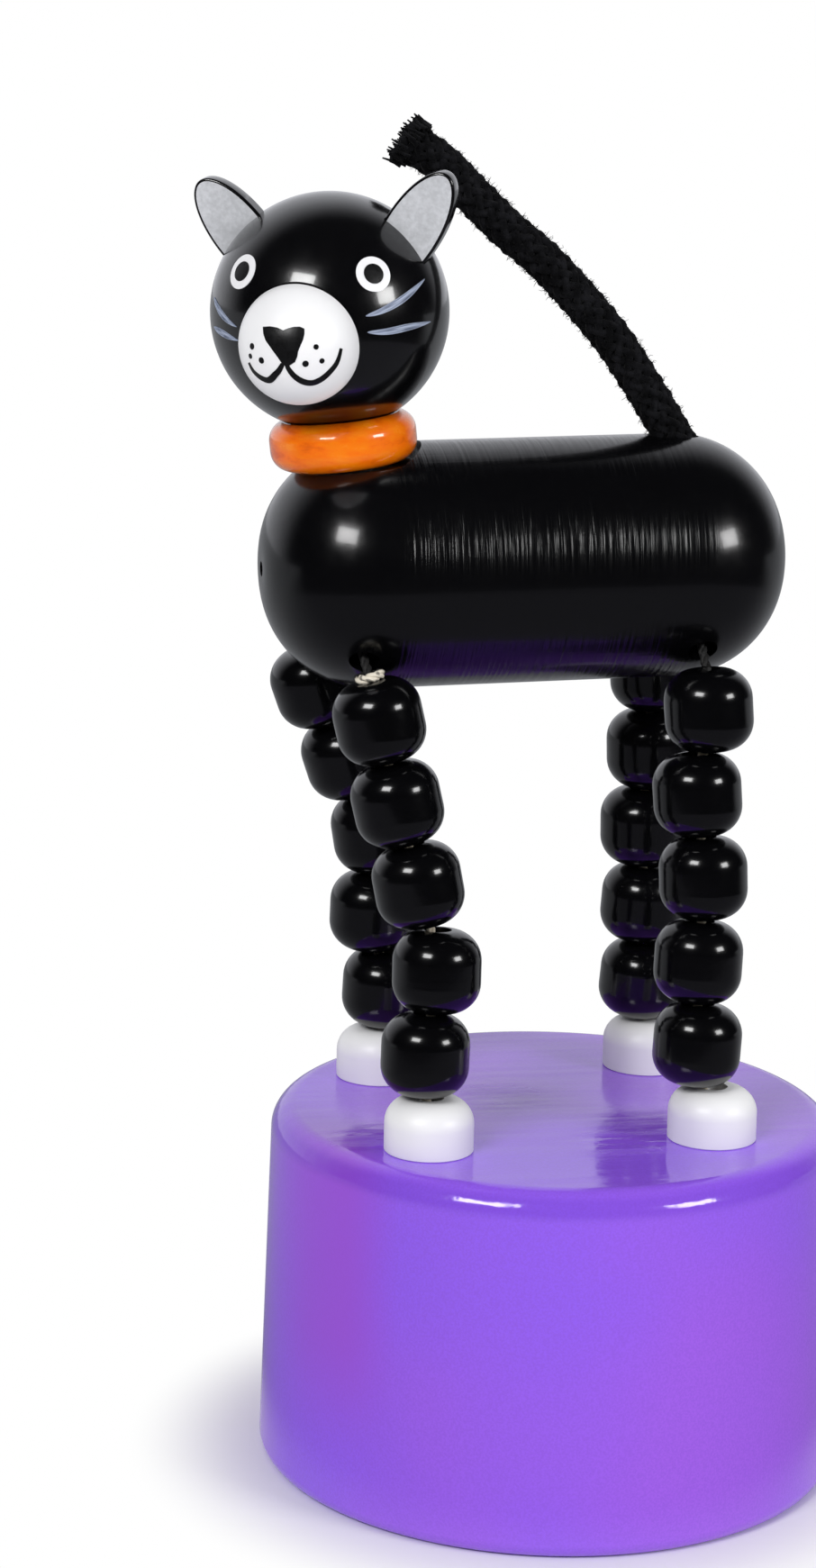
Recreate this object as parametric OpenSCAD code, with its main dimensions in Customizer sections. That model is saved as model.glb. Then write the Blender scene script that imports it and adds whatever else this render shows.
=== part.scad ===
// Push puppet: a beaded wooden cat that stands on a turned drum.
// Strings run from a sprung button in the drum up through the legs and over the torso.
// Pushing the button up from below slackens them, and the legs buckle.
// The cat faces -X, so its left side is -Y. The origin is the centre of the drum's foot.

/* [Drum] */
// Diameter of the drum at its top
drum_top_d = 50; // [46:0.5:60]
// Diameter of the drum at its foot
drum_foot_d = 51.5; // [47:0.5:62]
// Height of the drum
drum_h = 31.7; // [28:0.1:40]
// Radius of the drum's upper edge
drum_top_edge = 2.2; // [0.6:0.1:3]
// Radius of the drum's lower edge
drum_foot_edge = 1.4; // [0.5:0.1:3]
// Thickness of the drum's top above the bore
drum_ceiling = 6.5; // [4:0.1:8]
// Diameter of the bore that takes the thumb
thumb_bore_d = 41; // [39:0.1:43]

/* [Button and spring] */
// Thickness of the button
button_h = 6; // [5:0.1:7]
// Height of the button's underside above the table
button_recess = 5.5; // [4.5:0.1:7]
// Clearance round the button
button_clearance = 0.3; // [0.2:0.05:0.5]
// Depth of each pocket that hides a knot
pocket_depth = 3.5; // [3.3:0.1:4]
// Diameter of each knot pocket
pocket_d = 4.4; // [3.8:0.1:5]
// Diameter of a knot
knot_d = 3.2; // [2.8:0.1:3.2]
// Outer diameter of the return spring
spring_d = 22; // [16:0.5:28]
// Diameter of the spring wire
spring_wire = 0.9; // [0.7:0.1:1.2]
// Turns of the spring
spring_turns = 3.5; // [3:0.5:4]

/* [Strings] */
// Diameter of the string
string_d = 0.9; // [0.6:0.1:1.1]
// Diameter of the string holes in the drum and button
string_hole_d = 2.4; // [2:0.1:2.8]

/* [Feet] */
// Distance from the front feet to the rear feet
stance_len = 25.1; // [22:0.1:28]
// Distance from the left feet to the right feet
stance_w = 21.9; // [19:0.1:24]
// How far the feet stand ahead of the drum's axis
stance_ahead = 1.1; // [0:0.1:2]
// Diameter of a foot
foot_d = 7.7; // [7:0.1:8.5]
// Height of a foot
foot_h = 4.6; // [4:0.1:7]
// Radius of a foot's upper edge
foot_edge = 2.2; // [0.5:0.1:2.4]

/* [Leg beads] */
// Diameter of a bead
bead_d = 7.6; // [7:0.1:8.4]
// Length of a bead
bead_len = 7.1; // [6.2:0.1:7.6]
// Radius of a bead's edges
bead_edge = 2.6; // [2:0.1:3]
// Gap between pieces that touch on the string
bead_gap = 0.12; // [0.1:0.01:0.3]
// Diameter of a bead's bore
bead_bore_d = 2.5; // [2.4:0.1:2.8]
// Angle at which the legs lean in towards the torso
splay = 3; // [2:0.5:6]

/* [Torso] */
// Diameter of the torso
torso_d = 21.2; // [19:0.1:23]
// Length of the torso
torso_len = 45.8; // [43:0.1:52]
// Radius of the torso's ends
torso_end_r = 9.4; // [7:0.1:9.4]
// How far the torso's middle lies ahead of the drum's axis
torso_ahead = 4.1; // [3:0.1:5]
// Angle at which the torso rises to the rear
torso_tilt = 1.3; // [0:0.1:3]
// Gap between the highest bead and the torso
hip_gap = 0.25; // [0.2:0.05:0.5]
// Diameter of the string bores in the torso
hip_bore_d = 2.6; // [2.4:0.1:3]
// Diameter of the hollow in which the bores of a pair of legs meet
string_turn_d = 5.4; // [5:0.1:6.5]
// Diameter of the lathe centre's mark in the torso's front end
centre_mark_d = 1.3; // [0.8:0.1:2]
// Depth of that mark
centre_mark_depth = 1.2; // [0.5:0.1:2]

/* [Collar and head] */
// Diameter of the collar
collar_d = 12.6; // [12:0.1:14]
// Height of the collar
collar_h = 4.3; // [3.5:0.1:5.5]
// Radius of the collar's edges
collar_edge = 1.7; // [1:0.1:1.7]
// Diameter of the collar's bore
collar_bore_d = 3.2; // [2.6:0.1:4]
// Depth of the collar's seat below the torso's crown
collar_seat = 1.9; // [1:0.1:2.4]
// How far the collar lies ahead of the torso's middle
collar_ahead = 15.5; // [14:0.1:17]
// Angle at which the neck leans forward
neck_lean = 7; // [4:0.5:12]
// Clearance round the collar in its seat
collar_clearance = 0.3; // [0.2:0.05:0.4]
// Diameter of the head
head_d = 20.3; // [18:0.1:22]
// How deep the head sits in the collar's dish
head_sink = 1.4; // [0.8:0.05:1.8]
// Gap between the head and the dish, and under the collar
head_gap = 0.1; // [0.05:0.01:0.2]
// Depth of the string's bore in the head
neck_bore_depth = 7; // [4:0.1:8]
// Angle at which the head is turned to its left
head_turn = 63; // [40:1:80]

/* [Face and ears] */
// Diameter of the muzzle
muzzle_d = 10.2; // [8:0.1:11]
// Angle of the muzzle below level
muzzle_drop = 13; // [5:1:25]
// Length of an ear plate with its root
ear_len = 8.3; // [7.5:0.1:10]
// Width of an ear plate
ear_w = 4.9; // [4:0.1:7]
// How far from its root's end an ear is widest
ear_widest = 2.5; // [1:0.1:4]
// Thickness of an ear plate
ear_t = 1.6; // [1:0.1:2]
// Depth of the left ear's root in the head
ear_root_left = 1.9; // [1.5:0.1:3.5]
// Depth of the right ear's root in the head
ear_root_right = 2.9; // [1.5:0.1:3.5]
// Angle of an ear's middle line above level
ear_rise = 39.8; // [38:0.2:55]
// Angle at which the ears lean forward
ear_lean = 7; // [0:0.2:30]
// Distance of an ear's plate ahead of the head's middle
ear_ahead = 1; // [-2:0.1:2]
// Angle at which the left ear stands up in its own plane, from straight out of the head
ear_tilt_left = 17.4; // [0:0.2:20]
// Angle at which the right ear stands up in its own plane, from straight out of the head
ear_tilt_right = 11; // [0:0.2:20]
// Clearance of an ear in its slot
ear_clearance = 0.05; // [0.03:0.01:0.1]

/* [Tail] */
// Diameter of the tail cord
tail_d = 3.6; // [3:0.1:4.2]
// Depth of the tail's socket
tail_socket = 4; // [3:0.1:6]
// Clearance of the tail in its socket
tail_clearance = 0.1; // [0.05:0.01:0.2]
// How far the tail lies behind the torso's middle
tail_behind = 13.3; // [10:0.1:15]

/* [Hidden] */
$fn = 96;
// Overshoot of a cut past the face that it leaves
past = 1;
// Points along an edge that is rounded through a quarter turn
edge_steps = 8;
// Points along one side of an ear
ear_steps = 16;
// Sides of a thin tube
tube_sides = 8;
// Rings in one curl of the spring
curl_rings = 8;
// Sides of the spring wire
wire_sides = 6;
// Beads in a leg
beads = 5;

// Each leg: name, end (-1 front, 1 rear), side (-1 left, 1 right),
// lean of each bead from the foot up, and how far each has slid off the piece under it,
// in hundredths of a bead's diameter
LEGS = [
    ["front_left", -1, -1, [2, 1, -11, -13, -13], [-6, 9, -21, -6, 0]],
    ["front_right", -1, 1, [2, 1, -10, -19, -20], [4, -21, 1, -18, -8]],
    ["rear_left", 1, -1, [4, 3, -2, -4, -4], [-21, -7, 0, -5, 18]],
    ["rear_right", 1, 1, [4, 3, -2, -3, -3], [-9, -9, -9, 7, 5]]
];
// Middle line of the tail from its socket's mouth to its cut end
TAIL_ROUTE = [
    [0, 0, 0], [-2.5, 0.5, 4], [-6, 1, 9], [-11, 2, 14.5],
    [-14.5, 3, 17.5], [-17.5, 4, 20.5], [-20, 5, 23], [-23, 6, 25]
];

function leg_name(leg) = leg[0];
function bead_name(leg, k) = str(leg_name(leg), "_bead_", k + 1);
function foot_name(leg) = str("foot_", leg_name(leg));

// Heights in the drum
drum_ceiling_z = drum_h - drum_ceiling;
button_d = thumb_bore_d - 2 * button_clearance;
button_top_z = button_recess + button_h;
pocket_top_z = button_recess + pocket_depth;
knot_z = pocket_top_z - knot_d / 2 - bead_gap;

// A bead is a short core, of this radius, rounded all over by its edge radius
bead_core = bead_d / 2 - bead_edge;
// A leg that leans in rolls on its lowest bead's edge, which lifts it this much
splay_lift = bead_core * sin(splay) + bead_edge * (1 - cos(splay));
foot_top_z = drum_h + foot_h;

// Vectors in a leg's plane are [x, height], and a positive angle turns height towards x
function turned(v, angle) = [v.x * cos(angle) + v.y * sin(angle), v.y * cos(angle) - v.x * sin(angle)];

// The first bead rolls backward on its foot, and the others roll forward on the bead below
function roll_side(k) = k == 0 ? 1 : -1;
// Centre of the rounded edge that a bead rolls on, seen from the top of the piece below
function roll_centre(k, slide) = [slide + roll_side(k) * bead_core, bead_gap + bead_edge];
function rolled_foot(k, slide, bend) =
    roll_centre(k, slide) + turned([-roll_side(k) * bead_core, -bead_edge], bend);

// A leg's beads in its own plane, each as [centre of its lower end, lean, centre that it rolls on]
function stack(leg, k = 0, under = [0, 0], under_lean = 0) =
    k == beads ? [] :
    let (lean = leg[3][k], slide = leg[4][k] * bead_d / 100)
    let (foot = under + turned(rolled_foot(k, slide, lean - under_lean), under_lean))
    let (centre = under + turned(roll_centre(k, slide), under_lean))
    concat([[foot, lean, centre]], stack(leg, k + 1, foot + turned([0, bead_len], lean), lean));

function foot_at(leg) = [leg[1] * stance_len / 2 - stance_ahead, leg[2] * stance_w / 2];
// A point of a leg's plane, placed on the puppet
function on_leg(leg, p) = [
    foot_at(leg).x + p.x,
    foot_at(leg).y - leg[2] * sin(splay) * p.y,
    foot_top_z + splay_lift + cos(splay) * p.y
];
// A point on a bead's axis at a height above its lower end, offset along the leg's plane
function on_bead(bead, height, offset = 0) = bead[0] + turned([offset, height], bead[1]);
function top_bead(leg) = stack(leg)[beads - 1];
function hip(leg) = on_leg(leg, on_bead(top_bead(leg), bead_len));

// The torso rests on the highest leg
torso_r = torso_d / 2;
torso_x = -torso_ahead;
function torso_slope(x) = (x - torso_x) * tan(torso_tilt);
function hip_core(leg) = on_leg(leg, on_bead(top_bead(leg), bead_len - bead_edge));
// Height of the torso's axis at which it clears each point of the highest bead's rounded rim
function torso_need(leg) =
    let (core = hip_core(leg), reach = torso_r + bead_edge + hip_gap, rise = abs(sin(top_bead(leg)[1])))
    max([for (a = [0:10:90])
        let (inward = max(0, abs(core.y) - bead_core * sin(a)))
        core.z + bead_core * rise * cos(a) + sqrt(reach * reach - inward * inward)
    ]) - torso_slope(core.x);
torso_z = max([for (leg = LEGS) torso_need(leg)]);
// A point given along the torso's axis and above it, placed on the puppet
function on_torso(x, y, z) = [
    torso_x + x * cos(torso_tilt) - z * sin(torso_tilt),
    y,
    torso_z + x * sin(torso_tilt) + z * cos(torso_tilt)
];
// The middle of the string between a pair of legs, on the torso's axis
function apex(left, right) =
    let (x = (hip(left).x + hip(right).x) / 2) [x, 0, torso_z + torso_slope(x)];
front_apex = apex(LEGS[0], LEGS[1]);
rear_apex = apex(LEGS[2], LEGS[3]);

// The neck leans forward from the middle of the collar's seat
seat_at = on_torso(-collar_ahead, 0, torso_r - collar_seat);
neck_axis = [-sin(neck_lean), 0, cos(neck_lean)];
collar_at = seat_at + head_gap * neck_axis;
head_r = head_d / 2;
head_at = collar_at + (collar_h + head_gap + head_r - head_sink) * neck_axis;
// Distance from the head's middle to the flat that carries the muzzle
muzzle_seat = sqrt(head_r * head_r - muzzle_d * muzzle_d / 4);

// The tail leaves the torso's crown in the direction of its first stretch
tail_at = on_torso(tail_behind, 0, torso_r);
tail_lean = atan2(-TAIL_ROUTE[1].x, TAIL_ROUTE[1].z);
tail_root = tail_at + tail_socket * [sin(tail_lean), 0, -cos(tail_lean)];

// Points of a round edge about a centre, in an outline that is turned about an axis
function arc(centre, r, from, to) =
    [for (i = [0:edge_steps]) let (a = from + (to - from) * i / edge_steps) centre + r * [cos(a), sin(a)]];

// Half outline of a turned piece, with its lower and upper radius and a rounding at each end
function turned_outline(low_r, high_r, h, low_edge, high_edge) = concat(
    [[0, 0]],
    arc([low_r - low_edge, low_edge], low_edge, -90, 0),
    arc([high_r - high_edge, h - high_edge], high_edge, 0, 90),
    [[0, h]]
);

module turned_piece(low_r, high_r, h, low_edge, high_edge) {
    rotate_extrude() polygon(turned_outline(low_r, high_r, h, low_edge, high_edge));
}

// A round rod from one point to another
module rod(from, to, d) {
    span = to - from;
    translate(from)
        rotate([0, acos(span.z / norm(span)), atan2(span.y, span.x)])
            cylinder(d = d, h = norm(span));
}

// Ring of points round a route at one of its points, square to the route there
function along(route, i) =
    let (step = route[min(i + 1, len(route) - 1)] - route[max(i - 1, 0)]) step / norm(step);
function ring(route, i, r, sides, across) =
    let (t = along(route, i), u0 = cross(across, t), u = u0 / norm(u0), v = cross(t, u))
    [for (k = [0:sides - 1]) route[i] + r * (cos(360 * k / sides) * u + sin(360 * k / sides) * v)];

// A closed tube along a route. The vector across is never parallel to the route
module tube(route, d, sides, across) {
    rings = len(route);
    last = (rings - 1) * sides;
    polyhedron(
        points = [for (i = [0:rings - 1]) each ring(route, i, d / 2, sides, across)],
        faces = concat(
            [for (k = [1:sides - 2]) [0, k, k + 1]],
            [for (k = [1:sides - 2]) [last, last + k + 1, last + k]],
            [for (i = [0:rings - 2]) for (k = [0:sides - 1])
                [i * sides + k, (i + 1) * sides + k, i * sides + (k + 1) % sides]],
            [for (i = [0:rings - 2]) for (k = [0:sides - 1])
                [(i + 1) * sides + k, (i + 1) * sides + (k + 1) % sides, i * sides + (k + 1) % sides]]
        )
    );
}

// Middle line of the spring, from the button up to the drum's ceiling
spring_r = (spring_d - spring_wire) / 2;
spring_foot_z = button_top_z + spring_wire / 2 + bead_gap;
spring_head_z = drum_ceiling_z - spring_wire / 2 - bead_gap;
spring_rings = spring_turns * curl_rings;
SPRING_ROUTE = [for (i = [0:spring_rings]) let (a = 360 * i / curl_rings) [
    spring_r * cos(a),
    spring_r * sin(a),
    spring_foot_z + (spring_head_z - spring_foot_z) * i / spring_rings
]];
// Least gap between points of the spring that are at least half a curl apart
spring_gap = min([
    for (i = [0:spring_rings]) for (j = [0:spring_rings])
        if (j - i >= curl_rings / 2) norm(SPRING_ROUTE[i] - SPRING_ROUTE[j])
]) - spring_wire;
echo(str("Least gap of the spring to itself: ", spring_gap, " mm"));

// Places where a leg's string passes from one piece to the next
function string_mouths(leg) =
    let (s = stack(leg))
    [for (k = [0:beads - 1])
        on_leg(leg, ((k == 0 ? [0, 0] : on_bead(s[k - 1], bead_len)) + s[k][0]) / 2)];
// Route of one leg's string from its knot to its hip
function leg_route(leg) = concat(
    [for (z = [knot_z + knot_d / 2, drum_ceiling_z, drum_h]) [foot_at(leg).x, foot_at(leg).y, z]],
    string_mouths(leg),
    [hip(leg)]
);
function reversed(list) = [for (i = [len(list) - 1:-1:0]) list[i]];
function pair_route(left, right, middle) =
    concat(leg_route(left), [middle], reversed(leg_route(right)));

module string_holes(from_z, to_z) {
    for (leg = LEGS)
        translate([foot_at(leg).x, foot_at(leg).y, from_z])
            cylinder(d = string_hole_d, h = to_z - from_z);
}

module base_drum() {
    color("mediumpurple") difference() {
        turned_piece(drum_foot_d / 2, drum_top_d / 2, drum_h, drum_foot_edge, drum_top_edge);
        translate([0, 0, -past]) cylinder(d = thumb_bore_d, h = drum_ceiling_z + past);
        string_holes(drum_ceiling_z - past, drum_h + past);
    }
}

module push_button() {
    color("burlywood") difference() {
        translate([0, 0, button_recess]) cylinder(d = button_d, h = button_h);
        string_holes(button_recess - past, button_top_z + past);
        for (leg = LEGS)
            translate([foot_at(leg).x, foot_at(leg).y, button_recess - past])
                cylinder(d = pocket_d, h = pocket_depth + past);
    }
}

module return_spring() {
    color("silver") tube(SPRING_ROUTE, spring_wire, wire_sides, [0, 0, 1]);
}

module string_knots() {
    color("wheat") for (leg = LEGS)
        translate([foot_at(leg).x, foot_at(leg).y, knot_z]) sphere(d = knot_d);
}

module foot(leg) {
    color("white") translate([foot_at(leg).x, foot_at(leg).y, drum_h]) difference() {
        rotate_extrude() polygon(concat(
            [[0, 0], [foot_d / 2, 0]],
            arc([foot_d / 2 - foot_edge, foot_h - foot_edge], foot_edge, 0, 90),
            [[0, foot_h]]
        ));
        translate([0, 0, -past]) cylinder(d = bead_bore_d, h = foot_h + 2 * past);
    }
}

module leg_bead(leg, k) {
    bead = stack(leg)[k];
    color("#1b1b1f")
        translate(on_leg(leg, bead[0])) rotate([leg[2] * splay, 0, 0]) rotate([0, bead[1], 0])
            difference() {
                turned_piece(bead_d / 2, bead_d / 2, bead_len, bead_edge, bead_edge);
                translate([0, 0, -past]) cylinder(d = bead_bore_d, h = bead_len + 2 * past);
            }
}

module torso() {
    color("#1b1b1f") difference() {
        translate([torso_x, 0, torso_z]) rotate([0, 90 - torso_tilt, 0])
            translate([0, 0, -torso_len / 2])
                turned_piece(torso_r, torso_r, torso_len, torso_end_r, torso_end_r);
        for (pair = [[LEGS[0], LEGS[1], front_apex], [LEGS[2], LEGS[3], rear_apex]]) {
            for (i = [0, 1])
                rod(hip(pair[i]), pair[2], hip_bore_d);
            translate(pair[2]) sphere(d = string_turn_d);
        }
        translate(seat_at) rotate([0, -neck_lean, 0])
            cylinder(d = collar_d + 2 * collar_clearance, h = collar_seat + collar_h);
        rod(seat_at + past * neck_axis, front_apex, hip_bore_d);
        translate(tail_root) rotate([0, -tail_lean, 0])
            cylinder(d = tail_d + 2 * tail_clearance, h = tail_socket + tail_d);
        rod(on_torso(-torso_len / 2 - past, 0, 0), on_torso(centre_mark_depth - torso_len / 2, 0, 0),
            centre_mark_d);
    }
}

module collar() {
    color("darkorange") difference() {
        translate(collar_at) rotate([0, -neck_lean, 0]) difference() {
            turned_piece(collar_d / 2, collar_d / 2, collar_h, collar_edge, collar_edge);
            translate([0, 0, -past]) cylinder(d = collar_bore_d, h = collar_h + 2 * past);
        }
        translate(head_at) sphere(r = head_r + head_gap);
    }
}

// Places its children in the head's own frame: +X is the way the face looks, +Y is the cat's left
module in_head() {
    translate(head_at) rotate([0, 0, 180 + head_turn]) children();
}

// Outline of an ear plate along +X from its root: an ellipse cut off at the root. It grows by a clearance
module ear_outline(clear) {
    reach = ear_len - ear_widest + clear;
    first = -asin((ear_widest + clear) / reach);
    half = [for (i = [0:ear_steps]) let (a = first + (90 - first) * i / ear_steps)
        [ear_widest + reach * sin(a), (ear_w / 2 + clear) * cos(a)]];
    polygon(concat(half, [for (i = [ear_steps - 1:-1:0]) [half[i].x, -half[i].y]]));
}

// An ear plate in the head's frame, on the cat's left (1) or right (-1)
module ear_plate(side, clear) {
    root = side > 0 ? ear_root_left : ear_root_right;
    tilt = side > 0 ? ear_tilt_left : ear_tilt_right;
    rotate([0, ear_lean, 0]) translate([ear_ahead, 0, 0])
        rotate([side * (ear_rise - 90), 0, 0]) translate([0, 0, head_r - root]) rotate([0, -90, 0])
            rotate([0, 0, -side * tilt]) translate([0, 0, -ear_t / 2 - clear])
                linear_extrude(ear_t + 2 * clear) ear_outline(clear);
}

module ear(side) {
    color("silver") in_head() ear_plate(side, 0);
}

module head() {
    color("#1b1b1f") difference() {
        translate(head_at) sphere(r = head_r);
        in_head() {
            rotate([0, muzzle_drop, 0]) translate([muzzle_seat, 0, 0]) rotate([0, 90, 0])
                cylinder(d = head_d, h = head_r);
            for (side = [-1, 1]) ear_plate(side, ear_clearance);
        }
        rod(head_at - (head_r + past) * neck_axis, head_at - (head_r - neck_bore_depth) * neck_axis,
            hip_bore_d);
    }
}

module muzzle() {
    color("white") in_head() rotate([0, muzzle_drop, 0]) translate([muzzle_seat, 0, 0])
        rotate([0, 90, 0]) difference() {
            sphere(d = muzzle_d);
            translate([0, 0, -muzzle_d]) cylinder(d = 2 * muzzle_d, h = muzzle_d);
        }
}

module tail_cord() {
    color("#121214") tube(concat([tail_root], [for (p = TAIL_ROUTE) tail_at + p]), tail_d, tube_sides,
        [0, 1, 0]);
}

module leg_string(left, right, middle) {
    color("wheat") tube(pair_route(left, right, middle), string_d, tube_sides, [1, 0, 0]);
}

module neck_string() {
    top = head_at - (head_r - neck_bore_depth + string_d) * neck_axis;
    loop = front_apex + [0, 0, string_d + bead_gap];
    color("wheat") tube([top, collar_at + collar_h * neck_axis, seat_at, loop], string_d, tube_sides,
        [0, 1, 0]);
}

base_drum();
push_button();
return_spring();
string_knots();
for (leg = LEGS)
    foot(leg);
for (leg = LEGS) for (k = [0:beads - 1])
    leg_bead(leg, k);
torso();
collar();
head();
muzzle();
ear(1);  // ear_left
ear(-1);  // ear_right
tail_cord();
leg_string(LEGS[0], LEGS[1], front_apex);  // front_string
leg_string(LEGS[2], LEGS[3], rear_apex);  // rear_string
neck_string();
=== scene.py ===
"""A push puppet: a black wooden cat, strung from turned beads, that stands on a purple drum."""
import math
import random
import bmesh
import bpy
import numpy
from mathutils import Matrix, Vector


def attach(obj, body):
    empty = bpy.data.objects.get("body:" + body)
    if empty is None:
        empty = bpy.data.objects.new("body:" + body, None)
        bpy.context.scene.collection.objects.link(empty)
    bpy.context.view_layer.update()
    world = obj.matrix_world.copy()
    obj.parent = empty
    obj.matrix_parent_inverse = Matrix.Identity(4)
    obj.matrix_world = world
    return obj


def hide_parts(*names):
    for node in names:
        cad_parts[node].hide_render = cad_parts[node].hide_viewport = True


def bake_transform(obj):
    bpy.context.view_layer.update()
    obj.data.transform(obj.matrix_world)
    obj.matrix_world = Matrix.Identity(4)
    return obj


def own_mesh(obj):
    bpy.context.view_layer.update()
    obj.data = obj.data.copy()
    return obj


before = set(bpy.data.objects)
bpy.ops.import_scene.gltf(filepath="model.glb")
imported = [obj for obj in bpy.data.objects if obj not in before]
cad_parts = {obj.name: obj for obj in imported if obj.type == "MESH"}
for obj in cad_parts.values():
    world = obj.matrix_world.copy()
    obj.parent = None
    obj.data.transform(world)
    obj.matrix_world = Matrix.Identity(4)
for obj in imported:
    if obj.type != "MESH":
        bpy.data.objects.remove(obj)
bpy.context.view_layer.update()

# The camera stands a forearm's length away, a little above the cat's back and to its left.
# Its frame is shifted rather than turned, so that upright edges keep the photograph's lean.
photo_w, photo_h, focal = 906, 1741, 4011.3
shift_across, shift_up = 90, -174
azimuth, elevation, roll = (math.radians(a) for a in (-10.648, 9.879, 0.964))
camera_far, camera_across, aim_height = 0.314778, -0.0208288, 0.074532
sensor_h = 36
back = Vector((
    math.sin(azimuth) * math.cos(elevation), -math.cos(azimuth) * math.cos(elevation), math.sin(elevation)))
level = Vector((math.cos(azimuth), math.sin(azimuth), 0))
upright = back.cross(level)
eye = camera_far * back + camera_across * level + Vector((0, 0, aim_height))
right = math.cos(roll) * level + math.sin(roll) * upright
up = math.cos(roll) * upright - math.sin(roll) * level
camera = bpy.data.objects.new("camera", bpy.data.cameras.new("camera"))
bpy.context.scene.collection.objects.link(camera)
camera.matrix_world = Matrix.Translation(eye) @ Matrix((right, up, back)).transposed().to_4x4()
camera.data.sensor_fit = "VERTICAL"
camera.data.sensor_height = sensor_h
camera.data.lens = sensor_h * focal / photo_h
camera.data.shift_x = shift_across / photo_h
camera.data.shift_y = shift_up / photo_h
camera.data.clip_start = 0.01
bpy.context.scene.camera = camera

# The tail is a round braid of black cotton, sixteen yarns about a core, glued into a socket in the torso.
# It stands up and forward by its own stiffness, and its cut end is frayed.
mm = 0.001
tail_d = 3.6 * mm
tail_mouth = Vector((8.956, 0, 91.795)) * mm
tail_root = Vector((2.12, 0, -3.392))
tail_bends = [tail_root, (0, 0, 0), (-2.5, 0.5, 4), (-6, 1, 9), (-11, 2, 14.5), (-14.5, 3, 17.5),
              (-17.5, 4, 20.5), (-20, 5, 23), (-23, 6, 25)]
yarns_each_way, braid_pitch, yarn_d = 8, 11.5 * mm, 0.74 * mm
yarn_depth, yarn_weave, core_d = 0.48 * mm, 0.13 * mm, 0.74 * tail_d
frayed_length, frayed_flare = 2.6 * mm, 0.3
tuft_count, tuft_d, tuft_spread = 150, 0.36 * mm, 1.22
hair_count, hair_d, hair_depth = 1500, 0.06 * mm, 0.25 * mm


def through(points, count):
    """Evenly spaced points on a smooth curve through a few."""
    ends, steps = [2 * points[0] - points[1], *points, 2 * points[-1] - points[-2]], 40
    fine = []
    for a, b, c, d in zip(ends, ends[1:], ends[2:], ends[3:]):
        for t in (i / steps for i in range(steps)):
            fine.append(b + (c - a) * t / 2 + (2 * a - 5 * b + 4 * c - d) * t * t / 2
                        + (3 * b - a - 3 * c + d) * t ** 3 / 2)
    fine.append(points[-1])
    gone = [0]
    for a, b in zip(fine, fine[1:]):
        gone.append(gone[-1] + (b - a).length)
    even, k = [], 0
    for i in range(count):
        want = gone[-1] * i / (count - 1)
        while k < len(fine) - 2 and gone[k + 1] < want:
            k += 1
        even.append(fine[k].lerp(fine[k + 1], (want - gone[k]) / (gone[k + 1] - gone[k])))
    return even


def laid(route, lay):
    """A yarn laid round a route, at the angle and distance from it that lay gives for each length."""
    points, normal, gone = [], Vector((0.2, 1, 0)), 0
    for i, spot in enumerate(route):
        before, after = route[max(i - 1, 0)], route[min(i + 1, len(route) - 1)]
        way = (after - before).normalized()
        normal = (normal - normal.dot(way) * way).normalized()
        gone += (spot - before).length
        angle, out = lay(gone)
        points.append(spot + out * (math.cos(angle) * normal + math.sin(angle) * way.cross(normal)))
    return points


def alone(piece):
    """Selects one piece and nothing else."""
    bpy.ops.object.select_all(action="DESELECT")
    piece.select_set(True)
    bpy.context.view_layer.objects.active = piece


def yarns(name, runs, thickness, roundness=1, taper=1.0):
    """Lays a yarn along each run of points, thinner towards its end by a taper, as one mesh."""
    data = bpy.data.curves.new(name, "CURVE")
    data.dimensions = "3D"
    data.bevel_depth = thickness / 2
    data.bevel_resolution = roundness
    data.use_fill_caps = True
    for run in runs:
        spline = data.splines.new("POLY")
        spline.points.add(len(run) - 1)
        for i, (point, place) in enumerate(zip(spline.points, run)):
            point.co = (*place, 1)
            point.radius = 1 + (taper - 1) * i / (len(run) - 1)
    made = bpy.data.objects.new(name, data)
    bpy.context.scene.collection.objects.link(made)
    alone(made)
    bpy.ops.object.convert(target="MESH")
    bpy.ops.object.shade_smooth()
    return bpy.context.object


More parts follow.
